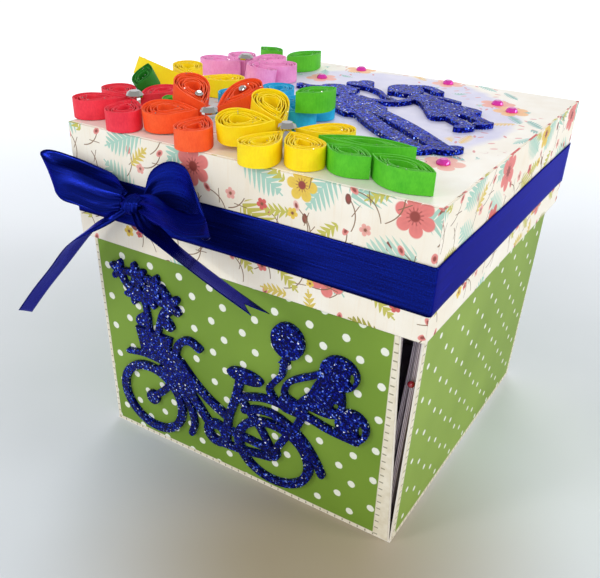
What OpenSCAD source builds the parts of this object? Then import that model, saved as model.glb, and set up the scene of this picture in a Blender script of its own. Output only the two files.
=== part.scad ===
// Explosion box: three nested folded card layers under a lift-off lid.
// Base centre at the origin, +Z up, front face towards -Y.

/* [Box] */
// Width of the outer card layer
box_w = 100; // [90:1:115]
// Height of the outer walls
wall_h = 97.6; // [90:0.1:110]
// Outward lean of the outer walls at the rim of the lid
wall_lean = 1.25; // [0.5:0.05:1.4]
// Width that each wall loses so that the corners open
corner_gap = 0.8; // [0.4:0.1:2]
// Width that each outer wall loses at its right edge from the fold up to the lid's rim
wall_slant = 3.4; // [0:0.1:5]
// Thickness of the card
card_t = 0.4; // [0.3:0.05:0.5]
// Thickness of the glued papers
paper_t = 0.15; // [0.1:0.01:0.2]
// Margin of card left bare around each glued paper
paper_margin = 0.4; // [0.2:0.1:2]

/* [Inner layers] */
// Distance from the folds of one layer to the folds of the next
layer_step = 3; // [2.9:0.1:5]
// Thickness of the middle and inner layers, card with papers glued on both faces
layer_t = 1.2; // [0.8:0.1:1.4]
// Height that the middle walls lose against the outer walls
middle_drop = 3.6; // [2:0.1:10]
// Outward lean of the middle walls
middle_lean = 3; // [1:0.1:3.1]
// Height that the inner walls lose against the outer walls
inner_drop = 9.6; // [4:0.1:16]
// Outward lean of the inner walls
inner_lean = 4; // [1:0.1:4.2]

/* [Lid] */
// Clearance between the papers on the walls and the lid
lid_clear = 0.8; // [0.5:0.1:2]
// Height of the lid
lid_h = 31.7; // [20:0.1:45]
// Gap between the walls' top edges and the lid's underside
lid_seat = 0.3; // [0.1:0.1:1]
// Length of each glued corner tab inside the lid
tab_l = 12; // [8:1:20]
// Margin of lid left bare around the top paper
top_margin = 0.6; // [0.3:0.1:3]

/* [Ribbon] */
// Width of the satin ribbon
ribbon_w = 12; // [8:0.5:15]
// Thickness of the ribbon band
ribbon_t = 0.25; // [0.15:0.05:0.4]
// Thickness of the ribbon in the bow
bow_t = 0.3; // [0.2:0.05:0.5]
// Radius of the knot
knot_r = 2.5; // [1.5:0.1:2.6]
// Height of the band above the lid's rim
ribbon_up = 7.1; // [4:0.1:15]
// Distance of the knot from the lid's left side
knot_in = 25; // [18:0.1:30]
// Height of the knot above the middle of the band
knot_up = 2.5; // [0:0.5:3]
// Depth of the knot
knot_deep = 6.5; // [6.3:0.1:7]

/* [Foam cut-outs] */
// Thickness of the glitter foam
foam_t = 1.3; // [0.8:0.1:3]
// Radius of the bicycle's wheels
wheel_r = 11.4; // [10.5:0.1:12]
// Width of the wheels' tyres
tyre_w = 2.6; // [2:0.1:3.2]
// Width of the frame tubes
tube_w = 2.2; // [1.6:0.1:2.8]
// Radius of the knobs at the hubs
hub_r = 2.4; // [1.6:0.1:3]
// Place of the children, from the lid's front left corner
children_at = [65.6, 55.6]; // [40:0.1:80]
// Turn of the children on the lid
children_turn = 53; // [45:1:60]

/* [Quilled coils] */
// Width of the paper strip, which is the height of a coil
strip_w = 5; // [3:0.1:7]
// Length of a petal
petal_l = 14.5; // [12:0.1:15]
// Width of a petal
petal_w = 9.3; // [7:0.1:9.4]
// Distance from a flower's centre to the tips of its petals
tip_gap = 2; // [2:0.1:3]
// Clearance under a coil
coil_seat = 0.3; // [0.1:0.1:0.5]
// Turns of strip in each coil
coil_turns = 3.5; // [2:0.5:4]

/* [Stones] */
// Radius of the large silver stones
silver_r = 2.4; // [1.5:0.1:2.4]
// Radius of the small silver stones
small_r = 1.1; // [0.8:0.1:1.5]
// Radius of the pink stones
pink_r = 1.7; // [1:0.1:2]
// Height of the stones as a share of their radius
stone_rise = 0.5; // [0.3:0.05:0.8]
// Radius of the bead in the corner gap
bead_r = 0.9; // [0.6:0.05:0.95]
// Height of the bead
bead_z = 51; // [20:1:60]
// Clearance between the bead and the wall behind it
bead_clear = 0.3; // [0.1:0.1:0.5]
// Height of the pink flower's stone above its petals
stone_up = 0.9; // [0.8:0.05:1.2]
// Distance of the two small stones from the tips of their petals
small_at = [9, 4.4]; // [4:0.1:10]

/* [Hidden] */
eps = 0.01;
glue_gap = 0.05;                         // film of glue under the stones
raised_gap = 0.6;                        // how much further out a raised petal stands
raised = 0.9;                            // lift from which a petal counts as raised
lid_z = wall_h + lid_seat + card_t;      // top face of the lid
rim_z = lid_z - lid_h;                   // lower rim of the lid
lid_in = box_w / 2 + wall_lean + paper_t + lid_clear;    // inner face of the lid's walls
lid_w = 2 * (lid_in + card_t);
lid_corner = -lid_w / 2;                 // front left corner, on both axes
middle_w = box_w - 2 * layer_step;
inner_w = middle_w - 2 * layer_step;
top_z = lid_z + paper_t;                 // face of the lid's top paper
lean_a = atan(wall_lean / rim_z);        // lean of the outer walls
band_z = rim_z + ribbon_up;
cut_grow = 0.05;                         // joins the strokes of the cut-outs
stone_points = 16;
coil_points = 18;                        // points along one turn of a coil
coil_pitch = 0.2;                        // share of the outline lost in one turn
coil_wall = 0.06;                        // share of the outline that is paper

SIDES = ["front", "right", "back", "left"];

// Flowers: name, colour, centre and height, then for each petal its direction, its
// rise, its roll and how far it is lifted. Places on the lid are from its front left
// corner.
FLOWERS = [
    ["yellow", "gold", [59.6, 13.1, 0], [[37, 0, 0, 0], [143, 18, 0, 1.3], [201, 0, -15, 2.2],
        [268, 0, 0, 0], [323, 0, 0, 0]]],
    ["orange", "orangered", [36.6, 13.1, 0], [[76, 20, 0, 1.3], [149, 20, 0, 1.8], [203, 0, -10, 1],
        [288, 0, 0, 0]]],
    ["red", "crimson", [11.1, 14.1, 0], [[88, 0, 0, 0], [155, 0, 0, 0], [217, 0, 0, 0], [297, 0, 0, 0]]],
    ["lemon", "yellow", [8.1, 40.6, 0], [[198, 18, 20, 0.3], [130, 4, 0, 0.3], [32, 0, 0, 0]]],
    ["blue", "deepskyblue", [41.1, 36.1, 0], [[31, 0, 0, 0], [118, 0, 0, 0], [190, 0, 0, 0],
        [335, 0, 0, 0]]],
    ["pink", "hotpink", [9.6, 67.6, 0], [[24, 0, 0, 0], [78, 0, 0, 0], [131, 0, 0, 0], [184, 0, 0, 0],
        [326, 0, -10, 0.8]]]
];

// Leaves: name, colour, place of the near tip, direction, rise, roll, length and width.
LEAVES = [
    ["front_leaf_1", "limegreen", [72.6, 9, 0], -13, 0, 0, 13, 7],
    ["front_leaf_2", "limegreen", [84.1, 8.6, 0], -13, 0, 0, 17, 8],
    ["front_leaf_3", "limegreen", [68.1, 13.2, 0], 12, 0, 0, 23, 7],
    ["middle_leaf", "limegreen", [54.4, 25, strip_w + coil_seat], 62, 0, 0, 12, 7],
    ["back_leaf_1", "limegreen", [10.1, 88.6, 0], 165, 0, 0, 11, 7],
    ["back_leaf_2", "limegreen", [15.6, 82.6, 0], 75, 0, 0, 16, 8],
    ["left_leaf", "forestgreen", [5, 24.4, 1], 108, 25, -15, 10, 6.5],
    ["side_leaf", "limegreen", [23.4, 17, 0], 152, 0, 0, 7.6, 5.5]
];

// Stones on the lid's top paper.
PINK_STONES = [[28.6, 83.6], [33.6, 101.6], [65.1, 101.1], [86.6, 85.6], [92.6, 80.1], [94.1, 26.1]];

// Bow: each station is the ribbon's centre, the direction of its width and its width.
// The centres are relative to the knot's middle on the band's face.
knot_at = [lid_corner + knot_in, -lid_w / 2 - ribbon_t, band_z + ribbon_w / 2 + knot_up];
BOW = [
    ["bow_loop_left", [
        [[-3.2, -3.4, 1.2], [0, 0, 1], 5], [[-7.5, -2.2, 1.4], [0, 0, 1], 9],
        [[-14, -2, 1], [-0.1, 0, 1], 12], [[-20.5, -2.2, 2.2], [-0.3, 0, 0.95], 12],
        [[-26.5, -3.4, 3.8], [-0.6, 0.05, 0.8], 12], [[-28.4, -6, 4], [-0.75, 0.35, 0.55], 12],
        [[-23.5, -8.2, 2.8], [-0.7, 0.4, 0.58], 12], [[-16.5, -8, 2.4], [-0.5, 0.5, 0.7], 10],
        [[-8.5, -6.8, 1], [-0.25, 0.6, 0.75], 8], [[-3.4, -5, 0.8], [0, 0.3, 0.95], 5]]],
    ["bow_loop_right", [
        [[3.2, -3.2, 1.8], [-0.1, 0, 1], 5], [[6, -2.4, 5], [-0.25, 0.05, 0.95], 9],
        [[11.5, -2.4, 7], [-0.2, 0.1, 0.97], 12], [[17.4, -3.4, 7], [-0.15, 0.1, 1], 12],
        [[22.6, -6, 3.6], [-0.35, 0.25, 0.9], 12], [[26.6, -8.6, 3.2], [-0.7, 0.65, 0.15], 12],
        [[23, -11, 2.6], [-0.53, 0.84, 0.05], 12], [[16.5, -10, 2.8], [-0.5, 0.8, 0.1], 10],
        [[9.5, -7.6, 2.4], [-0.3, 0.6, 0.6], 7.5], [[3.4, -5.2, 1.4], [0, 0.2, 1], 5]]],
    ["bow_tail_left", [
        [[-2.8, -7.8, -3.8], [0.3, 0.6, 0.7], 5], [[-6.4, -8, -4.8], [0.15, 0.7, 0.5], 8],
        [[-11, -8, -6.8], [0, 0.85, 0.2], 11], [[-17.8, -8.4, -12.8], [-0.2, 0.85, -0.1], 12],
        [[-27, -8.7, -23], [-0.35, 0.85, -0.3], 12], [[-35.5, -9.6, -32.6], [-0.4, 0.8, -0.4], 12],
        [[-43.6, -11, -42.8], [-0.4, 0.8, -0.4], 12]]],
    ["bow_tail_right", [
        [[3.4, -6.4, -3], [0.3, 0.7, 0.1], 4], [[6, -7.2, -2.8], [0, 0.85, 0], 6],
        [[9.4, -8, -3.6], [-0.1, 0.85, -0.2], 9], [[14.5, -8.6, -5.7], [-0.15, 0.85, -0.4], 12],
        [[22, -9.2, -8.3], [-0.15, 0.85, -0.42], 12], [[32.5, -9.8, -11.8], [-0.15, 0.85, -0.42], 12],
        [[43.2, -10.2, -15.2], [-0.15, 0.85, -0.42], 12]]]
];

PETAL_NAMES = [for (f = FLOWERS) for (i = [1:len(f[3])]) str(f[0], "_petal_", i)];
LEAF_NAMES = [for (l = LEAVES) l[0]];
BOW_NAMES = [for (b = BOW) b[0]];
PAPER_NAMES = [for (s = SIDES) str("outer_paper_", s)];
LINING_NAMES = [for (s = SIDES) str("outer_lining_", s)];

// Helpers

function unit(v) = v / norm(v);

// One point of a smooth curve through four points, between the middle two.
function blend(a, b, c, d, t) =
    0.5 * (2 * b + (c - a) * t + (2 * a - 5 * b + 4 * c - d) * t * t + (3 * b - a - 3 * c + d) * t * t * t);

// A smooth curve through points of any dimension, with n steps between two points.
function smooth(p, n = 4) = let (last = len(p) - 1)
    concat([for (i = [0:last - 1]) for (k = [0:n - 1])
        blend(i == 0 ? 2 * p[0] - p[1] : p[i - 1], p[i], p[i + 1],
            i == last - 1 ? 2 * p[last] - p[last - 1] : p[i + 2], k / n)], [p[last]]);

function normal_at(p, i) = let (d = unit(p[min(i + 1, len(p) - 1)] - p[max(i - 1, 0)])) [-d[1], d[0]];

// A band of even width along a line of points, with round ends.
module stroke(p, w) {
    polygon(concat([for (i = [0:len(p) - 1]) p[i] + normal_at(p, i) * w / 2],
        [for (i = [len(p) - 1:-1:0]) p[i] - normal_at(p, i) * w / 2]));
    for (end = [p[0], p[len(p) - 1]])
        translate(end)
            circle(d = w, $fn = 10);
}

module ring(centre, r, w) {
    translate(centre)
        difference() {
            circle(r + w / 2, $fn = 48);
            circle(r - w / 2, $fn = 48);
        }
}

module oval(centre, rx, ry, turn = 0) {
    translate(centre)
        rotate(turn)
            scale([rx, ry])
                circle(1, $fn = 24);
}

// Folded card layers

// A wall seen from its end: straight from the fold to the bend, then upright. The
// sheet lies between two distances out from the card's outer face. Its right edge, seen
// from outside, may slant inwards up to the bend.
module wall(half, lean, bend, from, to, low, high, width, slant = 0) {
    edge = width / 2;
    difference() {
        rotate([90, 0, 90])
            translate([0, 0, -edge])
                linear_extrude(width)
                    polygon([
                        [-half - low - lean * from / bend, from], [-half - high - lean * from / bend, from],
                        [-half - high - lean, bend], [-half - high - lean, to],
                        [-half - low - lean, to], [-half - low - lean, bend]]);
        if (slant > 0)
            rotate([90, 0, 0])
                linear_extrude(2 * half)
                    polygon([[edge, 0], [edge - slant, bend], [edge - slant, to + 1], [edge + 1, to + 1],
                        [edge + 1, 0]]);
    }
}

// A floor with four walls. The gap at the corners leaves room for the card's thickness.
module folded_cross(width, height, lean, floor_z, thick, slant = 0) {
    translate([-width / 2, -width / 2, floor_z])
        cube([width, width, thick]);
    for (k = [0:3])
        rotate([0, 0, 90 * k])
            translate([0, 0, floor_z])
                wall(width / 2, lean, rim_z, 0, height, -thick, 0,
                    width - corner_gap - 2 * (thick - card_t), slant);
}

module outer_box() {
    color("thistle")
        folded_cross(box_w, wall_h, wall_lean, 0, card_t, wall_slant);
}

module middle_box() {
    color("rosybrown")
        folded_cross(middle_w, wall_h - middle_drop, middle_lean, card_t, layer_t);
}

module inner_box() {
    color("plum")
        folded_cross(inner_w, wall_h - inner_drop, inner_lean, card_t + layer_t, layer_t);
}

module outer_paper(side) {
    color("yellowgreen")
        rotate([0, 0, 90 * side])
            wall(box_w / 2, wall_lean, rim_z, paper_margin, wall_h - paper_margin, 0, paper_t,
                box_w - corner_gap - 2 * paper_margin, wall_slant);
}

module outer_lining(side) {
    color("olive")
        rotate([0, 0, 90 * side])
            wall(box_w / 2, wall_lean, rim_z, card_t + paper_margin, wall_h - paper_margin,
                -card_t - paper_t, -card_t, box_w - 2 * corner_gap - 2 * paper_margin, wall_slant);
}

// The bead hangs in the open front right corner, in front of the middle layer's right wall.
module corner_bead() {
    lean_here = middle_lean * (bead_z - card_t) / rim_z;
    color("firebrick")
        translate([middle_w / 2 + lean_here - layer_t / 2,
            -(middle_w - corner_gap) / 2 + layer_t - card_t - bead_r - bead_clear, bead_z])
            sphere(bead_r, $fn = 32);
}

// Bicycle, drawn from the lower left corner of the front panel

front_hub = [17.9, 16.4];
rear_hub = [62.2, 14.9];
rear_shape = [1.04, 0.9];                // the rear wheel is a little wider than high
crank = [42.4, 13.3];
crank_r = 3.2;

module knob(at) {
    translate(at)
        circle(hub_r, $fn = 24);
}

module star(centre, r, turn = 0) {
    translate(centre)
        rotate(turn)
            for (a = [0:72:359])
                oval([0.55 * r * cos(a), 0.55 * r * sin(a)], 0.52 * r, 0.3 * r, a);
}

module wheels() {
    ring(front_hub, wheel_r, tyre_w);
    knob(front_hub);
    translate(rear_hub)
        scale(rear_shape)
            ring([0, 0], wheel_r, tyre_w);
    knob(rear_hub);
}

module bicycle_frame() {
    stroke(smooth([[29, 35], [26.4, 28], [24.2, 22.6], front_hub]), tube_w);
    stroke(smooth([[28, 31], [28.6, 37], [30.6, 41], [34, 42.7], [37.4, 41.3]]), tube_w);
    stroke(smooth([[30, 34], [35, 28.6], [40, 24.6], [45.5, 21.6]]), 1.2 * tube_w);
    stroke(smooth([[30, 27], [34.5, 22.5], [37.5, 18.5], [40, 15.5]]), 1.2 * tube_w);
    polygon([[21, 28], [27, 33.5], [31.5, 34], [36, 27], [34, 22], [27.5, 25]]);
    ring(crank, crank_r, 1.3 * tube_w);
    stroke(smooth([[51.4, 36.5], [49.4, 28.5], [46.9, 21], [45.8, 11.5]]), 1.1 * tube_w);
    oval([53, 38], 5.9, 2.2);
    stroke([crank + [2, crank_r], rear_hub + [0, 0.8]], tube_w);
    stroke([crank + [0, -crank_r], [51, 10.8], rear_hub + [-1, -2]], tube_w);
    stroke(smooth([[50.4, 31], [54.6, 26], [58, 22], rear_hub]), 0.9 * tube_w);
    stroke(smooth([rear_hub, [66.2, 22.3], [68.8, 26], [71.3, 31.5]]), tube_w);
}

module guards_and_rack() {
    stroke(smooth([[22, 29], [27, 26.6], [31.4, 21.6], [33.4, 16.5], [33.8, 12.5], [32.6, 8.8]]), 2);
    stroke(smooth([[52.6, 26.3], [57, 28.3], [62, 28.9], [67, 27.3], [72, 23.9], [75.6, 19.4],
        [78.2, 14.6]]), 2.1);
    stroke(smooth([[51.8, 30.6], [57.5, 32.8], [62.5, 33.5], [68.8, 33], [74, 32.6], [80, 31.4],
        [88, 31]]), 2);
    polygon([[63.6, 33], [64.6, 36.4], [67, 37.2], [73, 35.4], [72.8, 31.5], [66, 31.8]]);
}

module basket_of_flowers() {
    stroke(smooth([[9.8, 30.9], [17, 32.1], [27.5, 31.2]]), 1.6);
    polygon([[14, 41.2], [27.5, 41.2], [26.4, 37], [29.5, 35.5], [28, 31], [15.6, 32], [14.8, 37]]);
    for (stem = [[[19, 40], [18.9, 46], [18.4, 52]], [[22, 40], [24.2, 47.5], [27, 52]],
            [[18.4, 51], [16.5, 55], [16, 58]], [[14.6, 52], [11.5, 55], [9.8, 58]],
            [[18.4, 51], [21, 54], [22.5, 56.5]]])
        stroke(smooth(stem), 1.7);
    star([9.8, 58.2], 3.4, 10);
    star([16.2, 58.6], 3.6, 30);
    star([22.6, 56.8], 3.7, 0);
    star([14.6, 52.2], 3.4, 50);
    star([20, 52.6], 3.6, 20);
    star([27.6, 52.6], 4.2, 40);
    oval([17.2, 44.4], 3, 1.9, 35);
    oval([26, 46], 2.9, 1.8, -35);
}

module balloon() {
    oval([66.5, 54.3], 4.9, 5.3);
    polygon([[66.2, 50], [64, 47.2], [67.2, 47.4]]);
    stroke(smooth([[65.5, 48], [65, 43.5], [62.6, 40], [61, 37], [63.2, 33.6]]), 1.7);
}

module toy_bear() {
    difference() {
        oval([81.8, 50.2], 5.4, 4.9);
        oval([85.3, 49.8], 0.8, 2, -8);
    }
    stroke(smooth([[77.5, 49], [74, 46.5], [70, 44.1], [67, 41.6], [65.8, 38.5], [66.2, 35.5]]), 1.6);
    difference() {
        polygon(smooth([[77, 48.5], [82, 47], [83.6, 43], [83.4, 38], [80, 35.6], [74, 35.6],
            [70.2, 37], [73.2, 41], [75, 45]]));
        oval([81.3, 39.8], 0.8, 1.4, -30);
    }
    difference() {
        oval([86.3, 35.4], 4.8, 5);
        oval([88.7, 34.9], 0.8, 2, -5);
    }
}

module bicycle_cutout() {
    color("midnightblue")
        translate([-box_w / 2, -box_w / 2, 0])
            rotate([lean_a, 0, 0])
                translate([0, -paper_t, 0])
                    rotate([90, 0, 0])
                        linear_extrude(foam_t)
                            offset(delta = cut_grow) {
                                wheels();
                                bicycle_frame();
                                guards_and_rack();
                                basket_of_flowers();
                                balloon();
                                toy_bear();
                            }
}

// Lid

module lid_tray() {
    color("antiquewhite")
        union() {
            difference() {
                translate([-lid_w / 2, -lid_w / 2, rim_z])
                    cube([lid_w, lid_w, lid_h]);
                translate([-lid_in, -lid_in, rim_z - 1])
                    cube([2 * lid_in, 2 * lid_in, lid_h - card_t + 1]);
            }
            for (k = [0:3])
                rotate([0, 0, 90 * k])
                    translate([lid_in - card_t, -lid_in - eps, rim_z + paper_margin])
                        cube([card_t + eps, tab_l, lid_h - card_t - 2 * paper_margin]);
        }
}

module lid_top_paper() {
    half = lid_w / 2 - top_margin;
    color("lavender")
        translate([-half, -half, lid_z])
            cube([2 * half, 2 * half, paper_t]);
}

// Two children hand in hand, drawn upright and then turned on the lid.
hands = [7.4, 8.2];

module left_child() {
    oval([-3.5, 26.5], 5.8, 6.6, 8);
    oval([2.3, 25.4], 1.3, 0.9);
    stroke(smooth([[-7, 31], [-10, 33], [-11.6, 36]]), 2.4);
    stroke([[-4, 22], [-4.6, 17]], 3);
    polygon(smooth([[-9.2, 17.6], [-4.5, 19], [0.4, 17.2], [1, 9], [0, 0.5], [-10.4, 0.5], [-10.8, 9],
        [-9.2, 17.6]]));
    stroke(smooth([[-1.6, 15.6], [3, 10.4], hands]), 2.5);
    stroke(smooth([[-9, 15.5], [-11.5, 9.5], [-11.2, 2.6]]), 2.3);
    stroke(smooth([[-7.4, 2], [-9, -14], [-8.8, -31]]), 4.8);
    stroke(smooth([[-2.8, 2], [-1.8, -15], [-2.8, -33]]), 4.8);
    oval([-7.6, -32.2], 3.6, 1.9, -6);
    oval([-1.2, -34.4], 3.6, 1.9, -6);
}

module right_child() {
    oval([16.6, 20.4], 5.3, 6, -6);
    oval([11.2, 19.4], 1.2, 0.8);
    stroke(smooth([[20.5, 23], [24.4, 21], [24.8, 14.5]]), 3);
    stroke([[16.6, 16], [16.4, 12]], 2.6);
    polygon(smooth([[13.2, 12.6], [19.6, 12.4], [20.4, 4], [25, -8], [17, -9.6], [9, -8.4], [12.8, 4],
        [13.2, 12.6]]));
    stroke(smooth([[14.2, 11], [10.6, 8.6], hands]), 2.3);
    stroke(smooth([[18.6, 11.4], [22, 7.6], [23.8, 2.4]]), 2.1);
    stroke([[13.8, -8], [13.4, -18.6]], 2.8);
    stroke([[19.6, -8], [19.8, -17.6]], 2.8);
    oval([12.2, -19.4], 3, 1.5, -6);
    oval([18.6, -18.4], 3, 1.5, -6);
}

module heart_above() {
    for (side = [-1, 1])
        oval([6.9 + 2 * side, 31.8], 2.5, 2.5);
    polygon([[2.9, 30.6], [10.9, 30.6], [6.9, 25.4]]);
    stroke(smooth([[6.9, 27], [7.9, 21], [6.8, 15], hands]), 1.4);
}

module children_cutout() {
    color("midnightblue")
        translate([lid_corner + children_at[0], lid_corner + children_at[1], top_z])
            rotate([0, 0, children_turn])
                linear_extrude(foam_t)
                    offset(delta = cut_grow) {
                        left_child();
                        right_child();
                        heart_above();
                    }
}

// Ribbon

module ribbon_band() {
    outer = lid_w / 2 + ribbon_t;
    color("navy")
        translate([0, 0, band_z])
            linear_extrude(ribbon_w)
                difference() {
                    square(2 * outer, center = true);
                    square(lid_w, center = true);
                }
}

// A strip of ribbon through stations that are placed from the knot. Each section is a
// rectangle, bow_t thick, square to the line of the strip.
function strip_sections(stations) =
    let (path = smooth([for (s = stations) concat(s[0] + knot_at, unit(s[1]) * s[2] * ribbon_w / 24)], 3),
        last = len(path) - 1)
    [for (i = [0:last])
        let (c = [path[i][0], path[i][1], path[i][2]],
            w = [path[i][3], path[i][4], path[i][5]],
            a = path[max(i - 1, 0)],
            b = path[min(i + 1, last)],
            n = unit(cross(w, [b[0] - a[0], b[1] - a[1], b[2] - a[2]])) * bow_t / 2)
        [c - w - n, c + w - n, c + w + n, c - w + n]];

module strip(stations) {
    sections = strip_sections(stations);
    last = len(sections) - 1;
    polyhedron(
        points = [for (s = sections) each s],
        faces = concat(
            [[3, 2, 1, 0]],
            [for (i = [0:last - 1]) for (k = [0:3]) let (m = (k + 1) % 4)
                each [[4 * i + k, 4 * i + m, 4 * i + 4 + k], [4 * i + m, 4 * i + 4 + m, 4 * i + 4 + k]]],
            [[4 * last, 4 * last + 1, 4 * last + 2, 4 * last + 3]]),
        convexity = 6);
}

module bow_strip(b) {
    color("navy")
        strip(b[1]);
}

// The knot sits on the band and closes round the ends of the loops and tails.
module bow_knot() {
    color("navy")
        translate(knot_at)
            hull() {
                translate([0, -knot_r - bow_t, 0])
                    sphere(knot_r, $fn = 24);
                translate([0, knot_r - knot_deep - bow_t, 0])
                    sphere(knot_r, $fn = 24);
            }
}

// Quilled coils

// Half the width of the curve sin(t) * sin(t / 2) at its widest.
drop_widest = 0.77;

function drop_outline(t, l, w) = [l * (1 - cos(t)) / 2, w / 2 / drop_widest * sin(t) * sin(t / 2)];

function leaf_outline(t, l, w) = let (x = (1 - cos(t)) / 2)
    [l * x, sign(sin(t)) * w / 2 * (1 - pow(2 * x - 1, 2))];

// A point of the strip after n turns, drawn in towards the eye of the coil.
function coil_point(n, l, w, leaf, inset) =
    let (t = 360 * (n - floor(n)),
        eye = [(leaf ? 0.5 : 0.35) * l, 0],
        edge = leaf ? leaf_outline(t, l, w) : drop_outline(t, l, w))
    eye + (edge - eye) * (1 - coil_pitch * max(0, n - 0.5) - inset);

module coil(l, w, leaf) {
    steps = round(coil_turns * coil_points);
    linear_extrude(strip_w)
        polygon(concat(
            [for (i = [0:steps]) coil_point(i / coil_points, l, w, leaf, 0)],
            [for (i = [steps:-1:0]) coil_point(i / coil_points, l, w, leaf, coil_wall)]));
}

// Stands a piece on the lid at a place, turned to its direction, rise and roll.
module on_lid(at, direction, rise, roll) {
    translate([lid_corner + at[0], lid_corner + at[1], lid_z + coil_seat + at[2]])
        rotate([roll, -rise, direction])
            children();
}

// A raised petal stands further out, so that its top edge clears the stone.
function petal_tip(f, p) =
    let (out = tip_gap + strip_w * sin(p[1]) + (p[3] > raised ? raised_gap : 0))
    [f[2][0] + out * cos(p[0]), f[2][1] + out * sin(p[0]), f[2][2] + p[3]];

module petal(f, p) {
    color(f[1])
        on_lid(petal_tip(f, p), p[0], p[1], p[2])
            coil(petal_l, petal_w, false);
}

module leaf(l) {
    color(l[1])
        on_lid(l[2], l[3], l[4], l[5])
            coil(l[6], l[7], true);
}

// Stones

module stone(r) {
    cylinder(h = stone_rise * r * 0.3, r = r, $fn = stone_points);
    translate([0, 0, stone_rise * r * 0.3])
        cylinder(h = stone_rise * r * 0.7, r1 = r, r2 = 0.55 * r, $fn = stone_points);
}

module silver_gems() {
    color("silver") {
        for (f = [0, 1, 2, 5])
            on_lid(FLOWERS[f][2] + [0, 0, strip_w + (f == 5 ? stone_up : glue_gap)], 0, 0, 0)
                stone(silver_r);
        for (k = [0, 1])
            let (p = FLOWERS[1][3][k])
                on_lid(petal_tip(FLOWERS[1], p), p[0], p[1], p[2])
                    translate([small_at[k], 0, strip_w + glue_gap])
                        stone(small_r);
    }
}

module pink_gems() {
    color("deeppink")
        for (at = PINK_STONES)
            translate([lid_corner + at[0], lid_corner + at[1], top_z])
                stone(pink_r);
}

outer_box();
middle_box();
inner_box();
corner_bead();
bicycle_cutout();
lid_tray();
lid_top_paper();
children_cutout();
ribbon_band();
bow_knot();
silver_gems();
pink_gems();
for (k = [0:3]) outer_paper(k);
for (k = [0:3]) outer_lining(k);
for (b = BOW) bow_strip(b);
for (f = FLOWERS) for (i = [1:len(f[3])])
    petal(f, f[3][i - 1]);
for (l = LEAVES) leaf(l);
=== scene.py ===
"""Explosion box with quilled flowers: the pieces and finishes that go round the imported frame.

The box stands with its base centre at the origin, +Z up and its front towards -Y. Tables
are in millimetres, and the meshes are in metres.
"""
import math
import random

import bpy
from mathutils import Matrix, Vector


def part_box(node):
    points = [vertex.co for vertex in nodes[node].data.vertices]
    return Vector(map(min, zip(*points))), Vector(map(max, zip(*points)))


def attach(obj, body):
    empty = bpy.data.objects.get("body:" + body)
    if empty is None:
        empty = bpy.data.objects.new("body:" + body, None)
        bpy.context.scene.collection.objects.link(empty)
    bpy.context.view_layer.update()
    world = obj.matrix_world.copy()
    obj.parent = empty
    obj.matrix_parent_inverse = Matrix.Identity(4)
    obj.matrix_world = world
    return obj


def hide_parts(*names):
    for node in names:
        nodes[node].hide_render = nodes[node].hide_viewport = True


MM = 0.001
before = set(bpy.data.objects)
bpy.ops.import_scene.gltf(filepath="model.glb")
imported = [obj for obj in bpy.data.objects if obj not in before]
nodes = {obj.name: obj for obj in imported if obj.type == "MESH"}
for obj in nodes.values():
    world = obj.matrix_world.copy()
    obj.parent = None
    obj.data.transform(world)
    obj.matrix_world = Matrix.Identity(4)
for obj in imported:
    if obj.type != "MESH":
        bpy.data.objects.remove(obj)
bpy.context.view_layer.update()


def corners(node):
    low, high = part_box(node)
    return low / MM, high / MM


LID_LOW, LID_HIGH = corners("lid_tray")
LID_CORNER = Vector((LID_LOW.x, LID_LOW.y, 0))
TOP_PAPER = corners("lid_top_paper")[1].z
BAND_LOW, BAND_HIGH = corners("ribbon_band")
BOX_HALF = 50.0
# How far the inner layers' edges lean outwards for each millimetre of height
EDGE_LEAN = 0.04
STRIP_W = 5.0
COIL_SEAT = 0.3
RIBBON_W = 12.0

# Camera at the photograph's place and angle

CAMERA_AT = (99.33, -187.91, 153.78)
CAMERA_RIGHT = Vector((0.8443, 0.5359, 0.0))
CAMERA_AHEAD = Vector((-0.4509, 0.7107, -0.5397))
CAMERA_ROLL = math.radians(1.152)
SENSOR = 36.0
LENS = 44.44
SHIFT = (0.04, 0.1014)
NEAREST = 0.01


def make_camera():
    data = bpy.data.cameras.new("photo_camera")
    data.sensor_width = SENSOR
    data.lens = LENS
    data.shift_x, data.shift_y = SHIFT
    data.clip_start = NEAREST
    camera = bpy.data.objects.new("photo_camera", data)
    back = -CAMERA_AHEAD.normalized()
    right = CAMERA_RIGHT.normalized()
    up = back.cross(right)
    turned = Matrix((right, up, back)).transposed().to_4x4() @ Matrix.Rotation(CAMERA_ROLL, 4, "Z")
    camera.matrix_world = Matrix.Translation(Vector(CAMERA_AT) * MM) @ turned
    bpy.context.scene.collection.objects.link(camera)
    bpy.context.scene.camera = camera


# Shader kit


def ink(red, green, blue):
    """A colour as it is seen on screen, from 0 to 255, as the renderer's own colour."""
    shares = [c / 255 for c in (red, green, blue)]
    return tuple(c / 12.92 if c <= 0.04045 else ((c + 0.055) / 1.055) ** 2.4 for c in shares) + (1.0,)


def tints(*rows):
    """Stops of a colour ramp, from rows of a place and the colour's red, green and blue."""
    return [(place, ink(*colour)) for place, *colour in rows]


BLACK = (0, 0, 0, 1)


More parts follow.
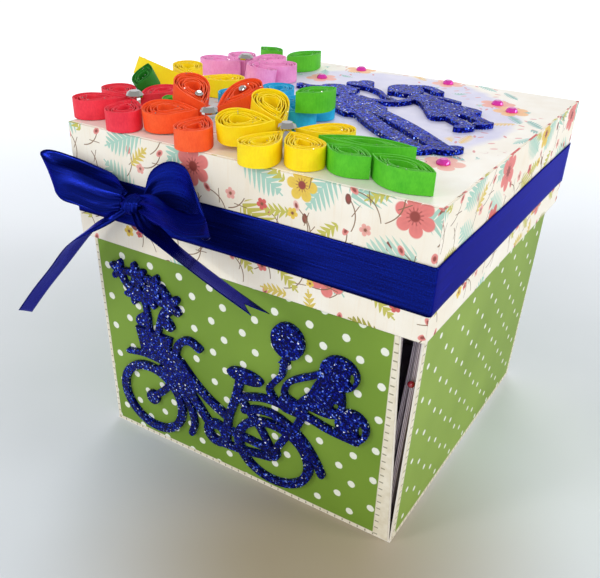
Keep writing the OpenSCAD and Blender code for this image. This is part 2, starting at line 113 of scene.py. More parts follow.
class Value:
    """What comes out of a node, for use in plain arithmetic."""

    def __init__(self, look, socket):
        self.look = look
        self.socket = socket

    def sum_of(self, operation, first, second=0.0):
        return self.look.node("ShaderNodeMath", {"operation": operation}, {0: first, 1: second})

    def __add__(self, other):
        return self.sum_of("ADD", self, other)

    __radd__ = __add__

    def __sub__(self, other):
        return self.sum_of("SUBTRACT", self, other)

    def __rsub__(self, other):
        return self.sum_of("SUBTRACT", other, self)

    def __mul__(self, other):
        return self.sum_of("MULTIPLY", self, other)

    __rmul__ = __mul__

    def __truediv__(self, other):
        return self.sum_of("DIVIDE", self, other)

    def __pow__(self, other):
        return self.sum_of("POWER", self, other)

    def __lt__(self, other):
        return self.sum_of("LESS_THAN", self, other)

    def __gt__(self, other):
        return self.sum_of("GREATER_THAN", self, other)

    def __abs__(self):
        return self.sum_of("ABSOLUTE", self)

    def part(self):
        return self.sum_of("FRACT", self)

    def sine(self):
        return self.sum_of("SINE", self)

    def cosine(self):
        return self.sum_of("COSINE", self)

    def least(self, other):
        return self.sum_of("MINIMUM", self, other)

    def most(self, other):
        return self.sum_of("MAXIMUM", self, other)

    def ease(self, low, high):
        """0 at low and 1 at high, smooth between them."""
        return self.look.node(
            "ShaderNodeMapRange", {"interpolation_type": "SMOOTHSTEP"}, {0: self, 1: low, 2: high}
        )


def length_of(a, b):
    return (a * a + b * b) ** 0.5


def angle_of(a, b):
    return a.sum_of("ARCTAN2", b, a)


def faces_along(share):
    """Whether a face looks along an axis, from that axis's share of its normal."""
    return abs(share) > 0.7


class Look:
    """A material, or the world, in the making."""

    def __init__(self, name, kind="materials", shader="Principled BSDF"):
        self.made = getattr(bpy.data, kind).new(name)
        self.made.use_nodes = True
        self.tree = self.made.node_tree
        self.shader = self.tree.nodes[shader]

    def node(self, kind, settings=None, sockets=None, out=0):
        made = self.tree.nodes.new(kind)
        for name, value in (settings or {}).items():
            if name == "stops":
                self.fill_ramp(made.color_ramp, value)
            else:
                setattr(made, name, value)
        for key, value in (sockets or {}).items():
            self.plug(value, made.inputs[key])
        return Value(self, made.outputs[out])

    def plug(self, value, socket):
        if isinstance(value, Value):
            self.tree.links.new(value.socket, socket)
        else:
            socket.default_value = value

    def fill_ramp(self, ramp, stops):
        while len(ramp.elements) < len(stops):
            ramp.elements.new(0.5)
        for element, (place, colour) in zip(ramp.elements, stops):
            element.position = place
            element.color = colour

    def other(self, value, out):
        return Value(self, value.socket.node.outputs[out])

    def vector(self, x, y):
        return self.node("ShaderNodeCombineXYZ", None, {0: x, 1: y})

    def split(self, vector):
        x = self.node("ShaderNodeSeparateXYZ", None, {0: vector})
        return x, self.other(x, 1), self.other(x, 2)

    def vectors(self, operation, a, b=None, scale=None):
        sockets = {0: a}
        if b is not None:
            sockets[1] = b
        if scale is not None:
            sockets["Scale"] = scale
        return self.node("ShaderNodeVectorMath", {"operation": operation}, sockets)

    def place(self):
        """The point on the piece, in millimetres in the frame of the box at rest."""
        at = self.node("ShaderNodeTexCoord", None, None, "Object")
        return self.vectors("SCALE", at, scale=1 / MM)

    def noise(self, at, size, detail=2.0, rough=0.5):
        return self.node(
            "ShaderNodeTexNoise", None,
            {"Vector": at, "Scale": 1 / size, "Detail": detail, "Roughness": rough},
        )

    def fibres(self, at, size):
        """The fine fibres of paper."""
        return self.noise(at, size, 3.0, 0.7)

    def toned(self, tone, colour):
        """A colour, darker where the tone is under 1."""
        return self.mix(tone, BLACK, colour)

    def mix(self, factor, a, b):
        return self.node("ShaderNodeMix", {"data_type": "RGBA"}, {0: factor, 6: a, 7: b}, 2)

    def ramp(self, factor, stops, step="LINEAR"):
        made = self.node("ShaderNodeValToRGB", {"stops": stops}, {0: factor})
        made.socket.node.color_ramp.interpolation = step
        return made

    def bump(self, height, depth, strength, normal=None):
        sockets = {"Height": height, "Distance": depth * MM, "Strength": strength}
        if normal is not None:
            sockets["Normal"] = normal
        self.plug(self.node("ShaderNodeBump", None, sockets), self.shader.inputs["Normal"])

    def finish(self, **sockets):
        for name, value in sockets.items():
            self.plug(value, self.shader.inputs[name.replace("_", " ")])
        return self.made


# Papers and cards


FLECK = 0.05
STRIPE_STEP = 0.42


def card(name, colour):
    """Plain card or paper, with the small unevenness and the fibres of real paper."""
    look = Look(name)
    at = look.place()
    cloud = look.noise(at, 9.0, 3.0)
    fibre = look.fibres(at, 0.25)
    tone = cloud * FLECK + fibre * FLECK * 1.4 + (1 - 1.2 * FLECK)
    look.bump(fibre, 0.03, 0.5)
    return look.finish(Base_Color=look.toned(tone, colour), Roughness=0.82)


def striped_card():
    """Lilac-grey card whose cut edges show fine dark stripes."""
    look = Look("lilac_card_striped")
    at = look.place()
    x, y, z = look.split(at)
    nx, ny, _ = look.split(look.node("ShaderNodeNewGeometry", None, None, "Normal"))
    on_side = (abs(x) > abs(y)) * faces_along(ny)
    on_front = (1 - (abs(x) > abs(y))) * faces_along(nx)
    cut = on_side.most(on_front)
    across = abs(x) * on_side + abs(y) * on_front - z * EDGE_LEAN
    stripe = (across * (math.tau / STRIPE_STEP)).sine().ease(-0.2, 0.5)
    cloud = look.noise(at, 9.0, 3.0)
    face = look.mix(cloud, ink(190, 176, 198), ink(212, 200, 220))
    edge = look.mix(stripe, ink(250, 240, 252), ink(150, 126, 144))
    look.bump(look.fibres(at, 0.25), 0.03, 0.5)
    return look.finish(Base_Color=look.mix(cut, face, edge), Roughness=0.8)


def panel_uv(look, side):
    """Distance from the panel's left edge and height, seen from outside."""
    x, y, z = look.split(look.place())
    along = {"front": x, "right": y, "back": x * -1, "left": y * -1}[side]
    return along + BOX_HALF, z


DOT_TURN = 0.027
# The first dot's place, the steps to the next ones, the way to its partner, and the radius
DOTS = {
    "front": ((10.6, 62.6), (10.27, 10.15), (-6.2, -4.7), 1.1),
    "right": ((6.0, 55.5), (11.4, 10.1), (5.9, -4.2), 0.82),
    "back": ((6.0, 58.0), (10.27, 10.15), (-6.2, -4.7), 1.1),
    "left": ((8.0, 59.0), (10.27, 10.15), (-6.2, -4.7), 1.1),
}
# The right side's lighter greens are painted light: the same paper, lighter where more light falls
PAINTED_LIGHT_GREENS = {"right": (ink(126, 154, 50), ink(142, 170, 64))}
PLAIN_GREENS = (ink(106, 140, 32), ink(120, 154, 44))
# The paper's left, right, lower and upper edges, and the border's widths along them
PAPER_EDGE = (0.8, 99.2, 0.4, 97.2)
BORDERS = {
    "front": (0.9, 4.5, 1.1, 1.2),
    "right": (1.7, 2.4, 1.7, 1.2),
    "back": (2.4, 2.4, 1.7, 1.2),
    "left": (2.4, 2.4, 1.7, 1.2),
}
TICK_STEP = 2.4
DOT_BLUR = 0.12


def dotted_paper(side):
    """Green paper with white dots and a cream border with small dark ticks."""
    look = Look("green_paper_" + side)
    at = look.place()
    u, v = panel_uv(look, side)
    (first_u, first_v), (step_u, step_v), partner, radius = DOTS[side]
    across = u - first_u + (v - first_v) * 0.4 * DOT_TURN
    up = v - first_v + (u - first_u) * DOT_TURN
    wobble = (look.noise(at, 0.8) - 0.5) * 0.25
    dots = None
    for shift_u, shift_v in ((0.0, 0.0), partner):
        off_u = (((across - shift_u) / step_u + 0.5).part() - 0.5) * step_u
        off_v = (((up - shift_v) / step_v + 0.5).part() - 0.5) * step_v
        dot = (length_of(off_u, off_v) + wobble).ease(radius + DOT_BLUR, radius - DOT_BLUR)
        dots = dot if dots is None else dots.most(dot)
    left, right, low, high = BORDERS[side]
    sideways = (PAPER_EDGE[0] + left - u).most(u - (PAPER_EDGE[1] - right))
    upright = (PAPER_EDGE[2] + low - v).most(v - (PAPER_EDGE[3] - high))
    out = sideways.most(upright)
    border = out.ease(-0.06, 0.06)
    by_side = sideways > upright
    run = v * by_side + u * (1 - by_side)
    tick = abs((run / TICK_STEP).part() - 0.5).ease(0.1, 0.06)
    tick = tick * out.ease(0.25, 0.35) * out.ease(1.5, 1.4)
    line = abs(out).ease(0.16, 0.08)
    # Painted light: the right side takes the lighter greens
    deep, light = PAINTED_LIGHT_GREENS.get(side, PLAIN_GREENS)
    green = look.ramp(look.noise(at, 30.0, 2.0), [(0.3, deep), (0.7, light)])
    cream = look.ramp(look.noise(at, 2.0, 2.0), tints((0.3, 226, 216, 190), (0.7, 242, 235, 216)))
    shade = look.mix(dots, green, ink(238, 241, 226))
    rim = look.mix((tick * 0.7).most(line * 0.3), cream, ink(98, 92, 52))
    fibre = look.fibres(at, 0.2)
    tone = (fibre * 0.09 + 0.955).least(1.0)
    base = look.toned(tone, look.mix(border, shade, rim))
    look.bump(fibre, 0.02, 0.4)
    return look.finish(Base_Color=base, Roughness=0.68, Coat_Weight=0.05, Coat_Roughness=0.35)


def scattered(look, u, v, pitch, shift, loose):
    """Places strewn about, one in a cell: the way from the nearest one and three shares."""
    at = look.vector(u / pitch + shift, v / pitch + shift * 1.7)
    cell = look.node(
        "ShaderNodeTexVoronoi", {"voronoi_dimensions": "2D"},
        {"Scale": 1.0, "Randomness": loose, "Vector": at},
    )
    away = look.vectors("SUBTRACT", at, look.other(cell, "Position"))
    dx, dy, _ = look.split(away)
    shares = look.split(look.other(cell, "Color"))
    return dx * pitch, dy * pitch, shares


def turned(dx, dy, angle):
    return dx * angle.cosine() + dy * angle.sine(), dy * angle.cosine() - dx * angle.sine()


def bloom(look, dx, dy, size, count, base, petals, heart, angle):
    """A printed flower over what lies under it: petals round a darker heart."""
    far = length_of(dx, dy)
    turn = angle_of(dx, dy) + angle
    lobe = abs((turn * (count / 2)).cosine())
    edge = (lobe ** 0.55 * 0.42 + 0.58) * size
    share = far / edge
    shape = share.ease(1.04, 0.94)
    vein = (turn * (count * 3.0) + share * 1.5).sine() * 0.5 + 0.5
    rings = (share * 9 + lobe * 2).sine() * 0.5 + 0.5
    dark = (vein * 0.3 + rings * 0.25) * share.ease(1.0, 0.3) + share.ease(0.85, 1.0) * 0.12
    tint = look.mix(dark, petals, look.mix(0.45, petals, heart))
    core = (far / size).ease(0.3, 0.2)
    stamen = (turn * (count * 2.0)).sine().ease(0.2, 0.8) * (far / size).ease(0.46, 0.36)
    return look.mix(shape, base, look.mix(core.most(stamen * 0.7), tint, heart))


def frond(look, dx, dy, long, wide, leaflets, base, colour, chance):
    """A printed palm leaf: slanting leaflets on both sides of a stem."""
    along = dx / long
    side = abs(dy)
    reach = (1 - along * along).most(0.02) ** 0.5 * wide
    far = side / reach
    comb = abs(((dx - side * 0.8) / (2 * long / leaflets)).part() - 0.5)
    leaflet = (comb - (1 - far * far) * 0.42).ease(0.05, -0.05) * (far < 1.0) * (abs(along) < 0.98)
    stem = side.ease(0.26, 0.12) * (abs(along - 0.1) < 1.05)
    return look.mix(leaflet.most(stem) * chance, base, colour)


FLORAL_STOPS = tints(
    (0.0, 232, 128, 122),
    (0.26, 236, 202, 76),
    (0.46, 112, 62, 46),
    (0.56, 240, 172, 160),
    (0.78, 218, 96, 92),
)
HEART_STOPS = tints(
    (0.0, 150, 62, 54),
    (0.46, 236, 140, 140),
    (0.56, 232, 196, 96),
    (0.78, 128, 48, 44),
)
# The angle of a whole turn, for a share that picks any direction
ALL_WAYS = 6.3
BUD_STOPS = tints((0.0, 232, 142, 134), (0.6, 128, 74, 58), (0.8, 238, 190, 178))
MINT_STOPS = tints((0.0, 168, 208, 190), (0.5, 196, 186, 82), (0.8, 182, 214, 196))
OLIVE_STOPS = tints((0.0, 198, 192, 86), (0.5, 164, 158, 62), (0.75, 220, 196, 92))
WREATH_STOPS = tints((0.0, 128, 184, 178), (0.6, 160, 204, 194), (0.85, 232, 196, 120))


def hanging_buds(look, u, v, pitch, shift, base):
    """Thin brown stems that bend over, each with a pink or brown bud at its end."""
    dx, dy, (r, g, b) = scattered(look, u, v, pitch, shift, 0.8)
    tx, ty = turned(dx, dy, r * 2.2 + 0.5)
    stem = abs(ty - tx * tx * 0.09).ease(0.2, 0.08) * (abs(tx) < pitch * 0.36)
    twig = abs(ty + tx * 0.8 - 0.6).ease(0.18, 0.08) * (abs(tx - 1.0) < 1.4)
    bud = length_of((tx - pitch * 0.34) / 1.25, (ty - 1.5) / 0.75)
    shown = g > 0.3
    base = look.mix(stem.most(twig) * shown, base, ink(136, 104, 74))
    petal = look.mix(bud.ease(0.3, 0.7), ink(150, 70, 62), look.ramp(b, BUD_STOPS, "CONSTANT"))
    return look.mix(bud.ease(1.1, 0.85) * shown, base, petal)


def floral_print(look, u, v, base):
    """Stems, leaves and flowers in pinks, yellow, brown, olive and mint, strewn over cream."""
    base = hanging_buds(look, u, v, 10.5, 3.3, base)

    dx, dy, (r, g, b) = scattered(look, u, v, 19.0, 8.1, 0.6)
    tx, ty = turned(dx, dy, r * ALL_WAYS)
    leaf = look.ramp(g, MINT_STOPS, "CONSTANT")
    base = frond(look, tx, ty, 6.4, 4.6, 8.0, base, leaf, b > 0.3)

    dx, dy, (r, g, b) = scattered(look, u, v, 12.5, 4.4, 0.8)
    tx, ty = turned(dx, dy, r * ALL_WAYS)
    leaf = look.ramp(g, OLIVE_STOPS, "CONSTANT")
    base = frond(look, tx, ty, 3.6, 1.9, 5.0, base, leaf, b > 0.4)

    dx, dy, (r, g, b) = scattered(look, u, v, 20.0, 1.2, 0.7)
    petals = look.ramp(g, FLORAL_STOPS, "CONSTANT")
    heart = look.ramp(g, HEART_STOPS, "CONSTANT")
    shown = bloom(look, dx, dy, r * 1.6 + 3.6, 6, base, petals, heart, b * 6)
    base = look.mix(b > 0.18, base, shown)

    base = hanging_buds(look, u, v, 13.0, 12.9, base)
    dx, dy, (r, g, b) = scattered(look, u, v, 9.0, 5.6, 0.9)
    petals = look.ramp(b, FLORAL_STOPS, "CONSTANT")
    shown = bloom(look, dx, dy, r * 0.8 + 1.0, 5, base, petals, ink(134, 84, 60), g * 6)
    return look.mix(g > 0.6, base, shown)


def floral_card():
    """The lid's card, with one print that runs on over the folds."""
    look = Look("floral_card_print")
    at = look.place()
    x, y, z = look.split(at)
    nx, _, _ = look.split(look.node("ShaderNodeNewGeometry", None, None, "Normal"))
    sideways = faces_along(nx)
    u = y * sideways + x * (1 - sideways)
    over = (abs(x) * sideways + abs(y) * (1 - sideways)) * -1
    v = z + over
    cream = look.ramp(look.noise(at, 12.0, 2.0), tints((0.3, 244, 234, 214), (0.7, 250, 244, 230)))
    grain = look.noise(look.vectors("MULTIPLY", at, (1.6, 1.6, 0.12)), 1.2, 3.0)
    streaky = look.mix(grain.ease(0.5, 0.75) * 0.16, cream, ink(232, 205, 160))
    fibre = look.fibres(at, 0.22)
    base = look.toned((fibre * 0.08 + 0.95).least(1.0), floral_print(look, u, v, streaky))
    round_edge = look.node("ShaderNodeBevel", {"samples": 4}, {"Radius": 0.35 * MM})
    look.bump(fibre, 0.02, 0.4, round_edge)
    return look.finish(Base_Color=base, Roughness=0.6, Coat_Weight=0.1, Coat_Roughness=0.4)


# The pink stones' places from the lid's front left corner, each in a printed flower
PINK_STONES = [(28.6, 83.6), (33.6, 101.6), (65.1, 101.1), (86.6, 85.6), (92.6, 80.1), (94.1, 26.1)]
WREATH_AT = (1.0, 6.0)
WREATH_R = 44.0


def wreath_paper():
    """The lid's top paper: a pale lilac field in a wreath of peach flowers and mint leaves."""
    look = Look("wreath_paper_print")
    at = look.place()
    x, y, _ = look.split(at)
    far = length_of(x - WREATH_AT[0], y - WREATH_AT[1])
    wash = (look.noise(at, 14.0, 3.0) - 0.5) * 9
    lilac = look.ramp(look.noise(at, 6.0, 3.0), tints((0.3, 208, 206, 232), (0.7, 222, 219, 238)))
    cream = look.ramp(look.noise(at, 9.0, 2.0), tints((0.3, 244, 236, 222), (0.7, 251, 247, 238)))
    base = look.mix((far + wash).ease(WREATH_R + 3, WREATH_R - 1), cream, lilac)
    ring = abs(far - WREATH_R).ease(9.0, 7.0)

    dx, dy, (r, g, _) = scattered(look, x, y, 4.2, 2.3, 1.0)
    tx, ty = turned(dx, dy, r * ALL_WAYS)
    dash = length_of(tx, ty / 0.35).ease(1.1, 0.9) * (g > 0.45)
    base = look.mix(dash * ring * 0.8, base, ink(214, 110, 110))

    dx, dy, (r, g, b) = scattered(look, x, y, 9.5, 6.1, 0.8)
    tx, ty = turned(dx, dy, r * ALL_WAYS)
    leaf = look.ramp(g, WREATH_STOPS, "CONSTANT")
    base = frond(look, tx, ty, 4.2, 1.7, 8.0, base, leaf, ring * (b > 0.25))

    dx, dy, (_, g, _) = scattered(look, x, y, 3.6, 9.4, 0.6)
    loop = abs(length_of(dx, dy * 1.3) - 1.1).ease(0.24, 0.12)
    corner = (x - y).ease(58.0, 64.0) * (g > 0.25)
    base = look.mix(loop * ring * corner, base, ink(176, 92, 100))

    peach = [ink(240, 168, 152), ink(244, 190, 130), ink(240, 178, 160)]
    for i, (px, py) in enumerate(PINK_STONES):
        dx, dy = x - (px + LID_CORNER.x), y - (py + LID_CORNER.y)
        base = bloom(look, dx, dy, 5.2, 5, base, peach[i % 3], ink(226, 120, 110), i * 0.7)
    fibre = look.fibres(at, 0.22)
    base = look.toned((fibre * 0.05 + 0.97).least(1.0), base)
    look.bump(fibre, 0.02, 0.4)
    return look.finish(Base_Color=base, Roughness=0.5, Coat_Weight=0.15, Coat_Roughness=0.3)


def quilled(name, colour, deep):
    """Dyed quilling paper: one dye, a little deeper in patches, with a dull silky face."""
    look = Look(name)
    at = look.place()
    cloud = look.noise(at, 3.0, 3.0)
    fibre = look.noise(look.vectors("MULTIPLY", at, (1, 1, 0.35)), 0.3, 2.0, 0.7)
    base = look.ramp(cloud * 0.6 + fibre * 0.4, [(0.3, deep), (0.62, colour)])
    look.bump(fibre, 0.03, 0.45)
    return look.finish(Base_Color=base, Roughness=0.58, Specular_IOR_Level=0.35)


GRAINS_PER_MM = 2.5
GRAIN_LEAN = 1.1
EDGE_ROUND = 0.6


def glitter_foam(name, lift=1.0):
    """Craft foam under a coat of deep blue glitter, whose grains lie at all angles."""
    look = Look(name)
    at = look.place()
    grain = look.node(
        "ShaderNodeTexVoronoi", None, {"Vector": at, "Scale": GRAINS_PER_MM, "Randomness": 1.0}, "Color"
    )
    r, g, b = look.split(grain)
    # lift lightens the blue grains for a lit copy of the same foam: painted light
    base = look.ramp(
        r,
        [
            (0.0, ink(6 * lift, 8 * lift, 66 * lift)),
            (0.35, ink(12 * lift, 16 * lift, 98 * lift)),
            (0.65, ink(22 * lift, 34 * lift, 144 * lift)),
            (0.85, ink(46 * lift, 76 * lift, 200 * lift)),
            # The two palest stops, light blue and near white, are painted sparkle: glints painted into
            # the grains' colour
            (0.95, ink(130, 160, 255)),
            (0.985, ink(240, 244, 255)),
        ],
        "CONSTANT",
    )
    tilt = look.vectors("SUBTRACT", grain, (0.5, 0.5, 0.5))
    rounded = look.node("ShaderNodeBevel", {"samples": 4}, {"Radius": EDGE_ROUND * MM})
    leaning = look.vectors("ADD", rounded, look.vectors("SCALE", tilt, scale=GRAIN_LEAN))
    look.plug(look.vectors("NORMALIZE", leaning), look.shader.inputs["Normal"])
    return look.finish(
        Base_Color=base, Roughness=g * 0.25 + 0.28, Metallic=b * 0.3 + 0.55,
        Specular_IOR_Level=0.2, IOR=1.2,
    )


THREAD_STEP = 0.3


def satin():
    """Navy satin: fine threads along the ribbon, and a blue gleam where it bends to the light."""
    look = Look("navy_satin")
    weave = look.node("ShaderNodeAttribute", {"attribute_name": "weave"}, None, "Vector")
    _, across, _ = look.split(weave)
    slub = look.noise(look.vectors("MULTIPLY", weave, (0.05, 2.2, 1)), 1.0, 3.0, 0.6)
    grain = look.noise(weave, 0.35, 2.0, 0.7)
    thread = (across * (math.tau / THREAD_STEP)).sine() * 0.5 + 0.5
    selvedge = (RIBBON_W / 2 - abs(across)).ease(0.6, 0.4)
    gleam = slub.ease(0.3, 0.75) * 0.35 + grain.ease(0.4, 0.7) * 0.35
    base = look.mix(gleam, ink(14, 18, 80), ink(22, 48, 178))
    base = look.mix(selvedge * 0.4, base, ink(8, 12, 66))
    look.bump(slub * 0.3 + thread * 0.3 + grain * 0.4, 0.05, 0.3)
    return look.finish(
        Base_Color=base, Roughness=slub * 0.08 + 0.22, Metallic=0.7, Specular_Tint=ink(30, 70, 255),
        Specular_IOR_Level=0.2, IOR=1.2, Anisotropic=0.4,
    )


def stone(name, colour, metal, rough):
    """A cut stone or bead under a clear coat, with a faint cloud in its colour."""
    look = Look(name)
    cloud = look.noise(look.place(), 0.6, 2.0)
    base = look.mix(cloud * 0.5, colour, tuple(c * 0.8 for c in colour[:3]) + (1,))
    return look.finish(
        Base_Color=base, Metallic=metal, Roughness=rough, Coat_Weight=0.8, Coat_Roughness=0.04
    )


# Meshes


def piece(name, points, faces, look, body, stands_for=(), smooth=True, weave=None):
    """A finished mesh from points in millimetres, riding on a body."""
    mesh = bpy.data.meshes.new(name)
    mesh.from_pydata([Vector(p) * MM for p in points], [], faces)
    mesh.update()
    mesh.polygons.foreach_set("use_smooth", [smooth] * len(mesh.polygons))
    if weave is not None:
        layer = mesh.attributes.new("weave", "FLOAT_VECTOR", "POINT")
        layer.data.foreach_set("vector", [c for w in weave for c in w])
    mesh.materials.append(look)
    made = bpy.data.objects.new(name, mesh)
    bpy.context.scene.collection.objects.link(made)
    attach(made, body)
    if stands_for:
        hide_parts(*stands_for)
    return made


def shell(rows, thick, closed=False):
    """Two faces and a rim for a sheet whose rows of points run across it."""
    count, wide = len(rows), len(rows[0])
    normals = []
    for i in range(count):
        before = rows[(i - 1) % count if closed else max(i - 1, 0)]
        after = rows[(i + 1) % count if closed else min(i + 1, count - 1)]
        line = []
        for j in range(wide):
            along = after[j] - before[j]
            across = rows[i][min(j + 1, wide - 1)] - rows[i][max(j - 1, 0)]
            line.append(along.cross(across).normalized() * thick / 2)
        normals.append(line)
    points = [
        rows[i][j] + side * normals[i][j] for side in (1, -1) for i in range(count) for j in range(wide)
    ]
    back = count * wide

    def at(i, j, side):
        return side * back + (i % count) * wide + j

    faces = []
    for i in range(count if closed else count - 1):
        for j in range(wide - 1):
            faces.append((at(i, j, 0), at(i, j + 1, 0), at(i + 1, j + 1, 0), at(i + 1, j, 0)))
            faces.append((at(i, j, 1), at(i + 1, j, 1), at(i + 1, j + 1, 1), at(i, j + 1, 1)))
        faces.append((at(i, 0, 0), at(i + 1, 0, 0), at(i + 1, 0, 1), at(i, 0, 1)))
        last = wide - 1
        faces.append((at(i, last, 0), at(i, last, 1), at(i + 1, last, 1), at(i + 1, last, 0)))
    if not closed:
        for j in range(wide - 1):
            faces.append((at(0, j, 0), at(0, j, 1), at(0, j + 1, 1), at(0, j + 1, 0)))
            end = count - 1
            faces.append((at(end, j, 0), at(end, j + 1, 0), at(end, j + 1, 1), at(end, j, 1)))
    return points, faces


def between(p, q, r, s, t):
    """The smooth curve through four numbers, at share t of the way from the second to the third."""
    straight = 2 * q + (r - p) * t
    return 0.5 * (straight + (2 * p - 5 * q + 4 * r - s) * t**2 + (3 * q - p - 3 * r + s) * t**3)


def smooth_path(stations, steps):
    """A smooth curve through rows of numbers, with so many steps between two rows."""
    rows = [list(r) for r in stations]
    first = [2 * a - b for a, b in zip(rows[0], rows[1])]
    last = [2 * a - b for a, b in zip(rows[-1], rows[-2])]
    rows = [first] + rows + [last]
    out = []
    for i in range(1, len(rows) - 2):
        four = rows[i - 1 : i + 3]
        for k in range(steps):
            out.append([between(*numbers, k / steps) for numbers in zip(*four)])
    return out + [rows[-2]]


# Quilled coils

# Each flower's centre on the lid, then its petals' direction, rise, roll and lift
FLOWERS = {
    "yellow": (
        (59.6, 13.1, 0),
        [(37, 0, 0, 0), (143, 18, 0, 1.3), (201, 0, -15, 2.2), (268, 0, 0, 0), (323, 0, 0, 0)],
    ),
    "orange": (
        (36.6, 13.1, 0),
        [(76, 20, 0, 1.3), (149, 20, 0, 1.8), (203, 0, -10, 1), (288, 0, 0, 0)],
    ),
    "red": ((11.1, 14.1, 0), [(88, 0, 0, 0), (155, 0, 0, 0), (217, 0, 0, 0), (297, 0, 0, 0)]),
    "lemon": ((8.1, 40.6, 0), [(198, 18, 20, 0.3), (130, 4, 0, 0.3), (32, 0, 0, 0)]),
    "blue": ((41.1, 36.1, 0), [(31, 0, 0, 0), (118, 0, 0, 0), (190, 0, 0, 0), (335, 0, 0, 0)]),
    "pink": (
        (9.6, 67.6, 0),
        [(24, 0, 0, 0), (78, 0, 0, 0), (131, 0, 0, 0), (184, 0, 0, 0), (326, 0, -10, 0.8)],
    ),
}
# Each leaf's near tip on the lid, its direction, rise and roll, and its length and width
LEAVES = {
    "front_leaf_1": ((72.6, 9, 0), -13, 0, 0, 13, 7),
    "front_leaf_2": ((84.1, 8.6, 0), -13, 0, 0, 17, 8),
    "front_leaf_3": ((68.1, 13.2, 0), 12, 0, 0, 23, 7),
    "middle_leaf": ((54.4, 25, STRIP_W + COIL_SEAT), 62, 0, 0, 12, 7),
    "back_leaf_1": ((10.1, 88.6, 0), 165, 0, 0, 11, 7),
    "back_leaf_2": ((15.6, 82.6, 0), 75, 0, 0, 16, 8),
    "left_leaf": ((5, 24.4, 1), 108, 25, -15, 10, 6.5),
    "side_leaf": ((23.4, 17, 0), 152, 0, 0, 7.6, 5.5),
}
PETAL = (14.5, 9.3)
TIP_GAP = 2.0
# A petal lifted by more than this stands further out
RAISED = 0.9
RAISED_GAP = 0.6
# Half the width of the curve sin(t) * sin(t / 2) at its widest
DROP_WIDEST = 0.77
STRIP_T = 0.17
COIL_STEPS = 44
PETAL_TURNS = 8.3
LEAF_TURNS = 7.6
PETAL_EYE = (0.55, 0.62)
LEAF_EYE = 0.5
EYE_SWAY = 0.3
# The outer turns lie close, each this share further in, and the inner ones have room
OUTER_TURNS = 1.6
OUTER_STEP = 0.034
INNER_STEP = 0.088
DEEPEST = 0.93
WAVE = 0.012
WAVE_TURNS = 3.0
# The pinched tips draw the outer turns out to them
PINCH = 0.8
PINCH_REACH = 0.55
PINCH_TURNS = 4.5
# How far a turn's edge may lie under the strip's full height, after the first turn
DEEPEST_DIP = 0.5
DIP_FROM = 0.9
DIP_COUNT = 12


def on_lid(at, direction, rise, roll):
    """Where a coil stands: its place from the lid's front left corner, and its turns."""
    spot = LID_CORNER + Vector((at[0], at[1], LID_HIGH.z + COIL_SEAT + at[2]))
    return (
        Matrix.Translation(spot)
        @ Matrix.Rotation(math.radians(direction), 4, "Z")
        @ Matrix.Rotation(math.radians(-rise), 4, "Y")
        @ Matrix.Rotation(math.radians(roll), 4, "X")
    )


def petal_place(centre, petal):
    direction, rise, roll, lift = petal
    out = TIP_GAP + STRIP_W * math.sin(math.radians(rise)) + (RAISED_GAP if lift > RAISED else 0)
    turn = math.radians(direction)
    at = (centre[0] + out * math.cos(turn), centre[1] + out * math.sin(turn), centre[2] + lift)
    return on_lid(at, direction, rise, roll)


def outline(t, long, wide, leaf):
    x = (1 - math.cos(t)) / 2
    if leaf:
        return Vector((long * x, math.copysign(wide / 2 * (1 - (2 * x - 1) ** 2), math.sin(t))))
    return Vector((long * x, wide / 2 / DROP_WIDEST * math.sin(t) * math.sin(t / 2)))


def coil_line(long, wide, leaf, turns, rng):
    """The strip's line from its glued outer end to the eye, with each point's turn."""
    along = LEAF_EYE if leaf else rng.uniform(*PETAL_EYE)
    eye = Vector((long * along, rng.uniform(-EYE_SWAY, EYE_SWAY)))
    phase = rng.uniform(0, math.tau)
    line = []
    for i in range(int(turns * COIL_STEPS) + 1):
        n = i / COIL_STEPS
        t = math.tau * (n % 1.0)
        edge = outline(t, long, wide, leaf)
        inward = OUTER_STEP * min(n, OUTER_TURNS) + INNER_STEP * max(0.0, n - OUTER_TURNS)
        wave = WAVE * math.sin(3 * t + phase + 2 * n) * min(n, WAVE_TURNS)
        near_tip = math.exp(-((min(t, math.tau - t) / PINCH_REACH) ** 2))
        if leaf:
            near_tip = max(near_tip, math.exp(-(((t - math.pi) / PINCH_REACH) ** 2)))
        pull = near_tip * max(0.0, 1 - n / PINCH_TURNS) * PINCH
        share = 1 - min(inward + wave * (n > 1), DEEPEST) * (1 - pull)
        line.append((eye + (edge - eye) * share, n))
    return line


